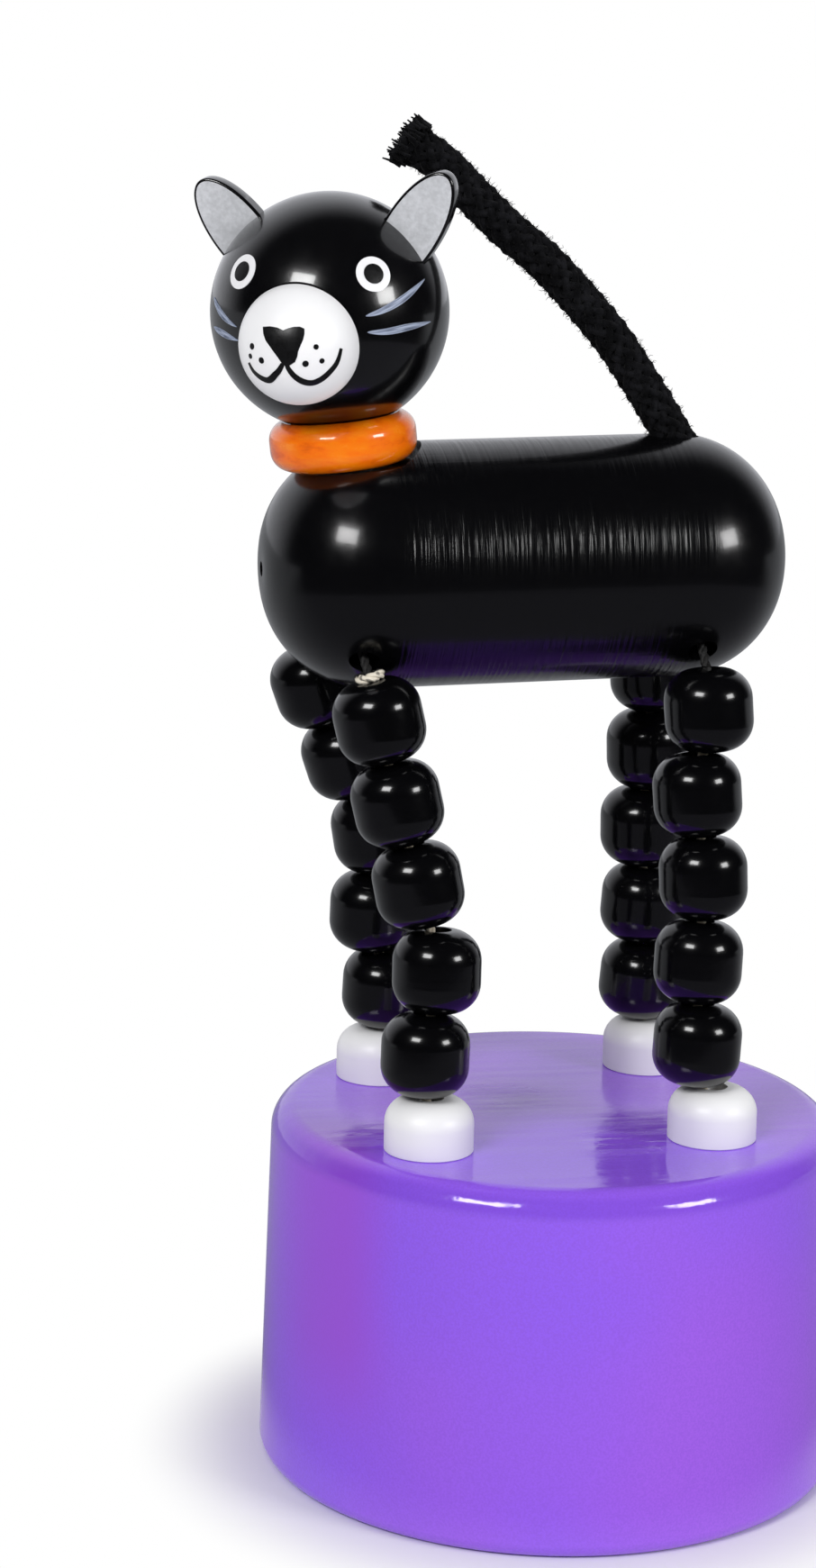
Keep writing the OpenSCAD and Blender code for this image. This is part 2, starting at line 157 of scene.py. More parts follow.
class Flow:
    """A value or colour on its way through the nodes of a finish. Sums on it are nodes too."""

    def __init__(self, tree, socket):
        self.tree, self.socket = tree, socket

    def node(self, kind, settings, sockets, out=0):
        """Adds a node: its type, its settings, and the values or links of its sockets."""
        made = self.tree.nodes.new("ShaderNode" + kind)
        for name, value in settings.items():
            if name == "stops":
                stops = made.color_ramp.elements
                stops.remove(stops[1])
                for i, (at, colour) in enumerate(value):
                    stop = stops.new(at) if i else stops[0]
                    stop.position, stop.color = at, (*colour, 1)
            else:
                setattr(made, name, value)
        for name, value in sockets.items():
            if isinstance(value, Flow):
                self.tree.links.new(value.socket, made.inputs[name])
            else:
                made.inputs[name].default_value = value
        return Flow(self.tree, made.outputs[out]) if made.outputs else None

    def sum(self, operation, first, second):
        return self.node("Math", {"operation": operation}, {0: first, 1: second})

    def __add__(self, other):
        return self.sum("ADD", self, other)

    def __sub__(self, other):
        return self.sum("SUBTRACT", self, other)

    def __rsub__(self, other):
        return self.sum("SUBTRACT", other, self)

    def __mul__(self, other):
        return self.sum("MULTIPLY", self, other)

    __radd__, __rmul__ = __add__, __mul__

    def noise(self, scale, detail=2.0, rough=0.5):
        return self.node("TexNoise", {}, {
            "Vector": self, "Scale": scale, "Detail": detail, "Roughness": rough})

    def stretched(self, scale, turn=(0, 0, 0)):
        return self.node("Mapping", {}, {"Vector": self, "Scale": scale, "Rotation": turn})

    def along(self, axis):
        """How far a place is along an axis."""
        return self.node("SeparateXYZ", {}, {"Vector": self}, out=axis)

    def ramp(self, low, high):
        """0 up to a low value and 1 from a high one, with a soft step between."""
        return self.node("MapRange", {"interpolation_type": "SMOOTHSTEP"},
                         {"Value": self, "From Min": low, "From Max": high})

    def tint(self, first, second):
        """A colour that goes from the first to the second as this value goes from 0 to 1."""
        first, second = (c if isinstance(c, Flow) else (*c, 1) for c in (first, second))
        return self.node("Mix", {"data_type": "RGBA"}, {0: self, 6: first, 7: second}, out=2)

    def bump(self, depth):
        return self.node("Bump", {}, {"Height": self, "Strength": 1.0, "Distance": depth})


def finish(name):
    """Starts a material, and gives it with the place on the piece that its pattern reads."""
    material = bpy.data.materials.new(name)
    material.use_nodes = True
    material.node_tree.nodes.clear()
    return material, Flow(material.node_tree, None).node("TexCoord", {}, {}, out="Object")


def coat(place, sockets):
    """Ends a material with its shader."""
    shader = place.node("BsdfPrincipled", {}, sockets)
    place.node("OutputMaterial", {}, {"Surface": shader})


tail_cotton, place = finish("tail_cotton")
lint = place.noise(900, 3)
coat(place, {
    "Base Color": lint.ramp(0.35, 0.75).tint((0.003, 0.003, 0.0035), (0.011, 0.011, 0.013)),
    "Roughness": 0.95, "Specular IOR Level": 0.04, "Sheen Weight": 0.03, "Sheen Roughness": 0.5,
    "Normal": place.noise(6500, 2).bump(0.08 * mm),
})

line_count, close_count = 36, 190
tail_points = [tail_mouth + Vector(p) * mm for p in tail_bends]
tail_line = through(tail_points, line_count)
tail_length = sum((b - a).length for a, b in zip(tail_line, tail_line[1:]))


def fray(gone):
    """How far the braid has opened, after a length of it."""
    t = min(max((gone - tail_length + frayed_length) / frayed_length, 0), 1)
    return 1 + frayed_flare * t * t


def braided(turn, start):
    """How a yarn winds one way or the other round the tail, over one yarn and under the next."""
    def lay(gone):
        wound = 2 * math.pi * gone / braid_pitch
        over = yarn_weave * turn * math.cos(yarns_each_way * wound)
        return turn * wound + start, (tail_d / 2 - yarn_depth + over) * fray(gone)
    return lay


close_line = through(tail_points, close_count)
braid = [laid(close_line, braided(turn, 2 * math.pi * k / yarns_each_way))
         for turn in (-1, 1) for k in range(yarns_each_way)]
tail = yarns("tail", braid, yarn_d)
core = yarns("tail_core", [close_line], core_d, 3)
for piece in (tail, core):
    piece.data.materials.append(tail_cotton)
alone(core)
tail.select_set(True)
bpy.context.view_layer.objects.active = tail
bpy.ops.object.join()

chance = random.Random(7)


def out_from(way, angle):
    """The direction straight out from a line, at an angle round it."""
    side = way.orthogonal().normalized()
    return math.cos(angle) * side + math.sin(angle) * way.cross(side)


def drift():
    """A random push, any way."""
    return Vector([chance.gauss(0, 1) for axis in "xyz"])


tip, tip_way = close_line[-1], (close_line[-1] - close_line[-6]).normalized()
tufts = []
for k in range(tuft_count):
    outward = out_from(tip_way, chance.uniform(0, 2 * math.pi))
    out = tail_d / 2 * tuft_spread * math.sqrt(chance.random())
    start = tip + out * outward - chance.uniform(0.9, 1.5) * mm * tip_way
    reach = chance.uniform(1.0, 1.75) * mm
    splay = chance.uniform(0.0, 0.3) * outward * out / tail_d * 2
    lean = (tip_way + splay + 0.2 * drift()).normalized()
    middle = start + 0.55 * reach * (tip_way + 0.4 * lean).normalized()
    tufts.append([start, middle, middle + 0.45 * reach * lean])
tail_end = yarns("tail_frayed_end", tufts, tuft_d, 0, 0.35)

clear_of_torso, hairs = 18, []
for k in range(hair_count):
    i = chance.randrange(clear_of_torso, len(close_line) - 2)
    way = (close_line[i + 1] - close_line[i]).normalized()
    outward = out_from(way, chance.uniform(0, 2 * math.pi))
    start, curl = close_line[i] + (tail_d / 2 - hair_depth) * outward, drift()
    reach = chance.uniform(0.25, 0.62) * mm
    middle = start + reach * (0.7 * outward + 0.5 * way * chance.uniform(-1, 1))
    hairs.append([start, middle, middle + 0.45 * reach * (0.4 * outward + 0.6 * curl).normalized()])
tail_fuzz = yarns("tail_fuzz", hairs, hair_d, 0, 0.4)

for piece in (tail_end, tail_fuzz):
    piece.data.materials.append(tail_cotton)
for piece in (tail, tail_end, tail_fuzz):
    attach(piece, "torso")
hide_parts("tail_cord")

# The drum is turned from one block of wood, with a wide bore from below and four drilled string holes.
# It is sprayed purple outside, with a few scuffs on its top, and the bore is left bare.
drum_foot_r, drum_top_r, drum_h = 25.75 * mm, 25 * mm, 31.7 * mm
drum_foot_edge, drum_top_edge = 1.4 * mm, 2.2 * mm
bore_r, ceiling_z = 20.5 * mm, 25.2 * mm
string_hole_r = 1.2 * mm
front_x, rear_x, stance_half = -13.65 * mm, 11.45 * mm, 10.95 * mm
feet_at = {f"{end}_{side}": Vector((x, y, drum_h))
           for end, x in (("front", front_x), ("rear", rear_x))
           for side, y in (("left", -stance_half), ("right", stance_half))}


def pick(mode, test):
    """Selects the vertices, edges or faces of the piece in edit mode that pass a test."""
    bpy.ops.mesh.select_mode(type=mode)
    bpy.ops.mesh.select_all(action="DESELECT")
    mesh = bmesh.from_edit_mesh(bpy.context.object.data)
    for part in {"VERT": mesh.verts, "EDGE": mesh.edges, "FACE": mesh.faces}[mode]:
        if test(part):
            part.select_set(True)
    mesh.select_flush_mode()
    bmesh.update_edit_mesh(bpy.context.object.data)


def turned(name, low_r, high_r, height, low_edge, high_edge, sides=96, steps=12):
    """Turns a round piece that stands on the origin, with a radius and a rounding at each end."""
    bpy.ops.object.select_all(action="DESELECT")
    bpy.ops.mesh.primitive_cylinder_add(
        vertices=sides, radius=low_r, depth=height, location=(0, 0, height / 2))
    piece = bpy.context.object
    piece.name = piece.data.name = name
    bpy.ops.object.transform_apply(location=True, rotation=True, scale=True)
    bpy.ops.object.mode_set(mode="EDIT")
    pick("VERT", lambda v: v.co.z > height / 2)
    bpy.ops.transform.resize(value=(high_r / low_r, high_r / low_r, 1), center_override=(0, 0, 0))
    for edge, rim_z in ((low_edge, 0), (high_edge, height)):
        if edge:
            pick("EDGE", lambda e: all(abs(v.co.z - rim_z) < 1e-7 for v in e.verts))
            bpy.ops.mesh.bevel(offset=edge, segments=steps, profile=0.5, affect="EDGES", clamp_overlap=False)
    bpy.ops.object.mode_set(mode="OBJECT")
    return piece


def put(piece, matrix):
    """Moves a piece to its place, and leaves that place in its mesh."""
    piece.matrix_world = matrix
    alone(piece)
    bpy.ops.object.transform_apply(location=True, rotation=True, scale=True)
    return piece


def rod(start, end, radius, wood, sides=48):
    """A drill bit from one point to another, as a tool to cut with."""
    span = end - start
    tool = turned("bit", radius, radius, span.length, 0, 0, sides)
    tool.data.materials.append(wood)
    return put(tool, Matrix.Translation(start) @ span.to_track_quat("Z", "Y").to_matrix().to_4x4())


def cut(piece, *tools):
    """Cuts the tools out of a piece, whose cut faces take the tool's finish, and puts the tools away."""
    alone(piece)
    for tool in tools:
        mark = piece.modifiers.new("cut", "BOOLEAN")
        mark.operation, mark.solver, mark.material_mode, mark.object = "DIFFERENCE", "EXACT", "TRANSFER", tool
        bpy.ops.object.modifier_apply(modifier="cut")
        bpy.data.objects.remove(tool)


def polish(piece, angle=32):
    """Smooths a piece's rounded parts, and keeps its flats flat and its edges sharp."""
    alone(piece)
    bpy.ops.object.shade_smooth_by_angle(angle=math.radians(angle))
    even = piece.modifiers.new("even", "WEIGHTED_NORMAL")
    even.keep_sharp = True
    bpy.ops.object.modifier_apply(modifier="even")


def wooden(piece, lacquer, body, slot, *nodes):
    """Gives a finished piece its lacquer, its body and the nodes that it stands for."""
    if lacquer.name not in piece.data.materials:
        piece.data.materials.append(lacquer)
    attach(piece, body)
    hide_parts(*nodes)


bare_wood, place = finish("bare_wood")
grain = place.stretched((60, 420, 420)).noise(1, 4, 0.6)
pores = place.stretched((500, 5200, 5200)).noise(1, 2)
coat(place, {
    "Base Color": grain.ramp(0.3, 0.7).tint((0.50, 0.33, 0.17), (0.68, 0.50, 0.30)),
    "Roughness": 0.62 + 0.2 * pores,
    "Normal": (0.6 * grain + 0.4 * pores).bump(0.06 * mm),
})

purple_lacquer, place = finish("purple_lacquer")
across, inward, height = (place.along(axis) for axis in "XYZ")
on_top = height.ramp(drum_h - 1.1 * mm, drum_h - 0.15 * mm)
cloud = place.noise(26, 2)
grain = place.stretched((45, 700, 45)).noise(1, 3, 0.6)
streak = place.stretched((30, 420, 30), (0, 0, 0.25)).noise(1, 3)
# A soft magenta patch low on the drum's left side is a painted reflection, mixed into the purple.
painted_reflection_patch = (across.ramp(-27 * mm, -23.5 * mm) * (1 - across.ramp(-21.5 * mm, -17 * mm))
          * (1 - inward.ramp(-14 * mm, 4 * mm)) * height.ramp(4 * mm, 17 * mm))
speck = place.noise(5000, 2).ramp(0.3, 0.7)
lilac = cloud.ramp(0.35, 0.72).tint((0.295, 0.114, 0.89), (0.37, 0.114, 0.81))
lilac = (0.4 * speck).tint(lilac, (0.25, 0.085, 0.68))
scuff_spots = ((3.3, -11, 7), (-18.5, -7.4, 6), (-4, 3, 7))
worn = 0
for x, y, reach in scuff_spots:
    spot = Vector((x, y, 0)) * mm + Vector((0, 0, drum_h))
    off = place.node("VectorMath", {"operation": "DISTANCE"}, {0: place, 1: spot}, out="Value")
    worn = worn + (1 - off.ramp(0.3 * reach * mm, reach * mm))
ripple = place.stretched((420, 900, 420), (0, 0, 0.5)).noise(1, 3)
scuff = on_top * streak.ramp(0.47, 0.6) * (0.3 + 0.5 * worn)
# The rim band along the top edge's rounding darkens the base colour there as painted shade; it also lowers
# the roughness and waves the bump.
rim = (height.ramp(drum_h - 2.6 * mm, drum_h - 1.5 * mm)
       * (1 - height.ramp(drum_h - 0.9 * mm, drum_h - 0.1 * mm)))
peel = place.noise(1100, 1)
paint = (0.75 * painted_reflection_patch).tint(lilac, (0.34, 0.078, 0.66))
top_marks = on_top * (6 * streak + 1.2 * grain + 7 * worn * ripple)
coat(place, {
    "Base Color": (0.35 * rim).tint(paint, (0.11, 0.034, 0.46)),
    "Roughness": 0.17 + 0.06 * peel - 0.1 * on_top - 0.08 * rim + 0.26 * scuff,
    "Specular IOR Level": 0.5, "Coat Weight": 0.25, "Coat Roughness": 0.03,
    "Normal": (0.5 * peel + 5 * rim * place.noise(600, 2) + top_marks).bump(0.011 * mm),
})

drum = turned("drum", drum_foot_r, drum_top_r, drum_h, drum_foot_edge, drum_top_edge, 160, 14)
drum.data.materials.append(purple_lacquer)
upward = Vector((0, 0, 1))
bits = [rod(spot - 10 * mm * upward, spot + mm * upward, string_hole_r, bare_wood)
        for spot in feet_at.values()]
cut(drum, rod(-mm * upward, ceiling_z * upward, bore_r, bare_wood, 160), *bits)
polish(drum)
wooden(drum, purple_lacquer, "base", "purple_lacquer", "base_drum")

# The push button is a plain disc of sanded wood that slides in the bore, with its edges eased.
# Four holes take the strings, and a pocket under each one hides the string's knot.
button_r, button_low, button_h, button_edge = 20.2 * mm, 5.5 * mm, 6 * mm, 0.5 * mm
pocket_r, pocket_depth = 2.2 * mm, 3.5 * mm
button = put(turned("button", button_r, button_r, button_h, button_edge, button_edge, 128, 5),
             Matrix.Translation(button_low * upward))
button.data.materials.append(bare_wood)
for spot in feet_at.values():
    under = Vector((spot.x, spot.y, button_low))
    cut(button, rod(under - mm * upward, under + (button_h + mm) * upward, string_hole_r, bare_wood),
        rod(under - mm * upward, under + pocket_depth * upward, pocket_r, bare_wood))
polish(button)
wooden(button, bare_wood, "button", "bare_wood", "push_button")

# The return spring is wound from drawn steel wire. It sits between the button and the bore's ceiling.
# In the toy it closes up as the button rises; here it is wound at one length.
spring_r, spring_wire, spring_turns = 10.55 * mm, 0.9 * mm, 3.5
spring_low, spring_high, steps_a_turn = 12.07 * mm, 24.63 * mm, 48
spring_steel, place = finish("spring_steel")
drawn = place.noise(2600, 2)
coat(place, {
    "Base Color": drawn.tint((0.46, 0.46, 0.48), (0.62, 0.62, 0.63)), "Metallic": 1.0,
    "Roughness": 0.22 + 0.16 * drawn, "Normal": drawn.bump(0.01 * mm),
})
coil, coil_steps = [], int(spring_turns * steps_a_turn)
for i in range(coil_steps + 1):
    angle, z = 2 * math.pi * i / steps_a_turn, spring_low + (spring_high - spring_low) * i / coil_steps
    coil.append(Vector((spring_r * math.cos(angle), spring_r * math.sin(angle), z)))
spring = yarns("spring", [coil], spring_wire, 5)
spring.data.materials.append(spring_steel)
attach(spring, "base")
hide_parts("return_spring")
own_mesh(spring)

# The feet are turned white pegs, round at the top and glued to the drum round each string hole.
# Their satin paint is thick enough to hide the grain.
foot_r, foot_h, foot_low_edge, foot_edge, foot_bore_r = 3.85 * mm, 4.6 * mm, 0.12 * mm, 2.2 * mm, 1.25 * mm
white_lacquer, place = finish("white_lacquer")
soft, peel = place.noise(130, 2), place.noise(1500, 1)
coat(place, {
    "Base Color": soft.tint((0.87, 0.87, 0.88), (0.92, 0.92, 0.925)), "Roughness": 0.34 + 0.1 * peel,
    "Normal": (soft + 0.25 * peel).bump(0.02 * mm),
})
peg = turned("peg", foot_r, foot_r, foot_h, foot_low_edge, foot_edge, 72, 10)
peg.data.materials.append(white_lacquer)
cut(peg, rod(-mm * upward, (foot_h + mm) * upward, foot_bore_r, white_lacquer))
polish(peg)


def copied(piece, name):
    """A copy of a piece, with a mesh of its own."""
    twin = piece.copy()
    twin.data = piece.data.copy()
    twin.name = twin.data.name = name
    bpy.context.scene.collection.objects.link(twin)
    return twin


for name, spot in feet_at.items():
    foot = put(copied(peg, "peg_foot_" + name), Matrix.Translation(spot))
    wooden(foot, white_lacquer, "base", "white_lacquer", "foot_" + name)
bpy.data.objects.remove(peg)

# The leg beads are small turned barrels, dipped in black gloss lacquer and strung five to a leg.
# Each one is held only by its string, so it sits a little out of line with the next.
bead_r, bead_len, bead_edge, beads_a_leg = 3.8 * mm, 7.1 * mm, 2.6 * mm, 5


def black_lacquer(name, gloss, shine, ridges, depth, rough_part=None, coats=0.18):
    """Black lacquer over turned wood. The lathe leaves so many ridges to a metre along each axis, and
    they are deepest in the rough part, between two places along x."""
    material, place = finish(name)
    lathe = place.stretched(ridges).noise(1, 4, 0.6)
    if rough_part:
        (start, end), along = rough_part, place.along("X")
        rough = along.ramp(start - 2 * mm, start + mm) * (1 - along.ramp(end - 2 * mm, end + 4 * mm))
        lathe = lathe * (0.3 + 8 * rough)
    peel, haze = place.noise(900, 1), place.noise(70, 2)
    coat(place, {
        "Base Color": haze.tint((0.0009, 0.0009, 0.0012), (0.002, 0.002, 0.0026)),
        "Roughness": gloss + 0.08 * peel + 0.05 * haze,
        "Specular IOR Level": 0.4, "Coat Weight": coats, "Coat Roughness": shine,
        "Normal": (lathe + 0.5 * peel + 0.8 * haze).bump(depth),
    })
    return material


bead_lacquer = black_lacquer("bead_lacquer", 0.1, 0.04, (30, 30, 900), 0.012 * mm)
barrel = turned("barrel", bead_r, bead_r, bead_len, bead_edge, bead_edge, 64, 12)
bpy.ops.object.mode_set(mode="EDIT")
pick("FACE", lambda f: abs(f.normal.z) > 0.999)
bpy.ops.mesh.delete(type="FACE")
pick("EDGE", lambda e: e.is_boundary)
bpy.ops.mesh.bridge_edge_loops()
bpy.ops.mesh.select_all(action="SELECT")
bpy.ops.mesh.normals_make_consistent(inside=False)
bpy.ops.object.mode_set(mode="OBJECT")
put(barrel, Matrix.Translation(-bead_len / 2 * upward))
barrel.data.materials.append(bead_lacquer)
polish(barrel)


def spindle(node):
    """The middle of a bead and its axis, upward: of all ways, a bead's faces look least along its axis."""
    middle, area, spread = Vector(), 0, numpy.zeros((3, 3))
    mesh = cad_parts[node].data
    for face in mesh.polygons:
        middle += face.area * face.center
        area += face.area
        spread += face.area * numpy.outer(face.normal, face.normal)
    axis = Vector(numpy.linalg.eigh(spread)[1][:, 0])
    return middle / area, axis if axis.z > 0 else -axis


def stood(spot, axis):
    """The move that stands a piece at a spot, along an axis."""
    return Matrix.Translation(spot) @ axis.to_track_quat("Z", "Y").to_matrix().to_4x4()


legs = {}
for name in feet_at:
    legs[name] = [spindle(f"{name}_bead_{k}") for k in range(1, beads_a_leg + 1)]
    for k, (middle, axis) in enumerate(legs[name], 1):
        spin = Matrix.Rotation(chance.uniform(0, 2 * math.pi), 4, "Z")
        bead = put(copied(barrel, f"barrel_{name}_{k}"), stood(middle, axis) @ spin)
        wooden(bead, bead_lacquer, f"{name}_bead_{k}", "black_lacquer", f"{name}_bead_{k}")
bpy.data.objects.remove(barrel)

# The torso is a turned roll with round ends, lacquered black over fine ridges that the lathe left.
# It is drilled for the leg strings, seated for the collar, and has the lathe's centre mark in its chest.
torso_at, torso_tilt = Vector((-4.1, 0, 80.896)) * mm, math.radians(1.3)
torso_r, torso_len, torso_end = 10.6 * mm, 45.8 * mm, 9.4 * mm
hip_bore_r, tail_socket_r = 1.3 * mm, 1.9 * mm
seat_at, seat_r, neck_lean = Vector((-19.793, 0, 89.242)) * mm, 6.6 * mm, math.radians(7)
neck_axis = Vector((-math.sin(neck_lean), 0, math.cos(neck_lean)))
centre_mark_r, centre_mark_depth = 0.65 * mm, 1.2 * mm
rough_part = (-16 * mm, 8 * mm)

torso_lacquer = black_lacquer("torso_lacquer", 0.13, 0.06, (2300, 25, 25), 0.014 * mm, rough_part)
torso_way = Vector((math.cos(torso_tilt), 0, math.sin(torso_tilt)))
chest = torso_at - torso_len / 2 * torso_way
roll_form = put(turned("roll", torso_r, torso_r, torso_len, torso_end, torso_end, 128, 26),
                stood(chest, torso_way))
roll_form.data.materials.append(torso_lacquer)
hips = {}
for name, leg in legs.items():
    middle, axis = leg[-1]
    hips[name] = middle + bead_len / 2 * axis
apexes, bits = {}, []
for end in ("front", "rear"):
    x = (hips[end + "_left"].x + hips[end + "_right"].x) / 2
    apexes[end] = Vector((x, 0, torso_at.z + (x - torso_at.x) * math.tan(torso_tilt)))
for name, hip in hips.items():
    bits.append(rod(hip, apexes[name.split("_")[0]], hip_bore_r, torso_lacquer))
bits.append(rod(seat_at, seat_at + 6 * mm * neck_axis, seat_r, torso_lacquer, 96))
tail_way = -tail_root.normalized()
bits.append(rod(tail_points[0], tail_points[0] + 8 * mm * tail_way, tail_socket_r, torso_lacquer))
bits.append(rod(chest - mm * torso_way, chest + centre_mark_depth * torso_way, centre_mark_r, torso_lacquer))
cut(roll_form, *bits)
polish(roll_form)
wooden(roll_form, torso_lacquer, "torso", "black_lacquer", "torso")

# The collar is a turned ring of light wood, stained orange and varnished, with a dish that the head sits in.
# The stain takes unevenly, so the grain shows through in darker flecks.
collar_at = Vector((-19.805, 0, 89.341)) * mm
collar_r, collar_h, collar_edge, collar_bore_r = 6.3 * mm, 4.3 * mm, 1.7 * mm, 1.6 * mm
head_gap = 0.1 * mm
head_at, head_r = Vector((-21.408, 0, 102.394)) * mm, 10.15 * mm

orange_lacquer, place = finish("orange_lacquer")
flecks = place.stretched((350, 350, 900), (0, -neck_lean, 0)).noise(1, 4, 0.65)
blotch = place.noise(210, 2)
stain = 0.55 * flecks + 0.45 * blotch
stains = [(0.36, (0.68, 0.092, 0.001)), (0.48, (0.95, 0.17, 0.001)), (0.62, (0.97, 0.245, 0.002))]
coat(place, {
    "Base Color": place.node("ValToRGB", {"stops": stains}, {"Fac": stain}),
    "Roughness": 0.2 + 0.12 * flecks, "Specular IOR Level": 0.25,
    "Coat Weight": 0.9, "Coat Roughness": 0.03,
    "Normal": (flecks + blotch).bump(0.015 * mm),
})


def ball(name, middle, radius, facing, sides=128):
    """A turned ball with one pole towards a way."""
    bpy.ops.object.select_all(action="DESELECT")
    bpy.ops.mesh.primitive_uv_sphere_add(segments=sides, ring_count=sides // 2, radius=radius)
    piece = bpy.context.object
    piece.name = piece.data.name = name
    return put(piece, stood(middle, facing))


ring = put(turned("ring", collar_r, collar_r, collar_h, collar_edge, collar_edge, 112, 14),
           stood(collar_at, neck_axis))
ring.data.materials.append(orange_lacquer)
dish = ball("dish", head_at, head_r + head_gap, neck_axis)
dish.data.materials.append(orange_lacquer)
bore = rod(collar_at - mm * neck_axis, collar_at + 6 * mm * neck_axis, collar_bore_r, orange_lacquer)
cut(ring, bore, dish)
polish(ring)
wooden(ring, orange_lacquer, "collar", "orange_lacquer", "collar")

# The head is a turned ball in black gloss lacquer, with a flat sawn for the muzzle and a slot for each ear.
# Its string comes up through the collar and is glued in a bore under the chin.
face_turn, muzzle_drop = math.radians(180 + 63), math.radians(13)
muzzle_r = 5.1 * mm
ear_len, ear_w, ear_t, ear_widest, ear_ahead = 8.3 * mm, 4.9 * mm, 1.6 * mm, 2.5 * mm, 1 * mm
ear_rise, ear_lean, ear_clearance = math.radians(39.8), math.radians(7), 0.05 * mm
left_ear, right_ear = 1, -1
ear_roots = {left_ear: 1.9 * mm, right_ear: 2.9 * mm}
ear_tilts = {left_ear: math.radians(17.4), right_ear: math.radians(11)}

head_lacquer = black_lacquer("head_lacquer", 0.15, 0.085, (300, 300, 300), 0.01 * mm, coats=0.7)
in_head = Matrix.Translation(head_at) @ Matrix.Rotation(face_turn, 4, "Z")
muzzle_way = (in_head @ Matrix.Rotation(muzzle_drop, 4, "Y")).to_3x3() @ Vector((1, 0, 0))
muzzle_at = head_at + math.sqrt(head_r ** 2 - muzzle_r ** 2) * muzzle_way


def ear_place(side):
    """Where an ear's plate goes, from a plate that grows along +x and looks along -z."""
    square = math.radians(90)
    return (in_head @ Matrix.Rotation(ear_lean, 4, "Y") @ Matrix.Translation((ear_ahead, 0, 0))
            @ Matrix.Rotation(side * (ear_rise - square), 4, "X")
            @ Matrix.Translation((0, 0, head_r - ear_roots[side])) @ Matrix.Rotation(-square, 4, "Y")
            @ Matrix.Rotation(-side * ear_tilts[side], 4, "Z"))


def ear_plate(name, side, clear, steps=28):
    """An ear's plate, grown all round by a clearance: an ellipse that is cut off at its root."""
    reach = ear_len - ear_widest + clear
    first = -math.asin((ear_widest + clear) / reach)
    half = [(ear_widest + reach * math.sin(a), (ear_w / 2 + clear) * math.cos(a))
            for a in (first + (math.pi / 2 - first) * i / steps for i in range(steps + 1))]
    outline = half + [(x, -y) for x, y in half[-2::-1]]
    bpy.ops.object.select_all(action="DESELECT")
    bpy.ops.mesh.primitive_circle_add(vertices=len(outline), fill_type="NGON")
    plate = bpy.context.object
    plate.name = plate.data.name = name
    for corner, (x, y) in zip(plate.data.vertices, outline):
        corner.co = (x, y, -ear_t / 2 - clear)
    bpy.ops.object.mode_set(mode="EDIT")
    bpy.ops.mesh.select_all(action="SELECT")
    bpy.ops.mesh.extrude_region_move(TRANSFORM_OT_translate={"value": (0, 0, ear_t + 2 * clear)})
    bpy.ops.mesh.select_all(action="SELECT")
    bpy.ops.mesh.normals_make_consistent(inside=False)
    bpy.ops.object.mode_set(mode="OBJECT")
    return put(plate, ear_place(side))


skull = ball("skull", head_at, head_r, muzzle_way, 160)
bpy.ops.object.mode_set(mode="EDIT")
bpy.ops.mesh.select_all(action="SELECT")
bpy.ops.mesh.bisect(plane_co=muzzle_at, plane_no=muzzle_way, use_fill=True, clear_outer=True)
bpy.ops.object.mode_set(mode="OBJECT")
skull.data.materials.append(head_lacquer)
slots = []
for side in (right_ear, left_ear):
    slots.append(ear_plate("slot", side, ear_clearance))
    slots[-1].data.materials.append(head_lacquer)
chin = head_at - head_r * neck_axis
bore = rod(chin - mm * neck_axis, chin + 7 * mm * neck_axis, hip_bore_r, head_lacquer)
cut(skull, bore, *slots)
polish(skull)
wooden(skull, head_lacquer, "head", "black_lacquer", "head")

# The muzzle is half a small turned ball, glued to the head's flat.
# It has the same thick white paint as the feet.
snout = ball("snout", muzzle_at, muzzle_r, muzzle_way, 96)
bpy.ops.object.mode_set(mode="EDIT")
bpy.ops.mesh.select_all(action="SELECT")
bpy.ops.mesh.bisect(plane_co=muzzle_at, plane_no=muzzle_way, use_fill=True, clear_inner=True)
bpy.ops.object.mode_set(mode="OBJECT")
polish(snout)
wooden(snout, white_lacquer, "head", "white_lacquer", "muzzle")

# The face is painted by hand with a fine brush: ringed eyes, a heart of a nose, a mouth, six dots and
# four whiskers. The paint lies in thin raised films on the balls. Spots are pixels of the photograph.
eye_spots, eye_r, pupil_r = ((268.9, 301.3), (414.7, 304)), 1.53 * mm, 0.86 * mm
nose_spots = (
    (292, 363), (300, 362.4), (308, 363.8), (314.5, 366.8), (320, 364.5), (326, 363), (333, 362.8),
    (338, 365), (338, 371), (336.5, 377), (333.5, 384), (331, 390), (330, 396), (327.5, 402), (322, 405.5),
    (316.5, 406.3), (312, 402), (308.4, 396.6), (303.5, 390), (298.8, 383.3), (295, 378), (292.7, 371))
mouth_spots = (
    ((314, 404), (310, 411), (306, 415.5), (298.8, 422), (290.3, 419.6), (281.8, 412.4), (276.5, 402.7)),
    ((318, 404), (321, 410.5), (327.8, 418.4), (337.5, 424), (347.2, 425), (357, 420.8), (366.6, 412.4),
     (373.9, 402.7), (378.7, 386.9)))
dot_spots = ((279.9, 384.5), (278.2, 395.4), (290.3, 400.2), (350.9, 385.2), (357.4, 400.7), (339.2, 403.9))
fuller_dots = (0, 2, 5)
whisker_spots = (
    ((406, 351), (424, 345), (447, 332), (471, 310)), ((408, 369), (430, 368), (454, 363), (478, 357)),
    ((238, 330), (244, 345), (253, 356), (263, 363)), ((238, 363), (246, 369), (255, 374), (265, 378)))
mouth_w, dot_r, whisker_w, film = 0.42 * mm, 0.22 * mm, 0.56 * mm, 0.05 * mm


def on_ball(spot, middle, radius):
    """The point of a ball that the photograph shows at a pixel."""
    across, rise = spot[0] - photo_w / 2 + shift_across, photo_h / 2 - spot[1] + shift_up
    way = (across / focal * right + rise / focal * up - back).normalized()
    span = middle - eye
    near = way.dot(span)
    return eye + (near - math.sqrt(max(radius ** 2 - span.length_squared + near ** 2, 0))) * way


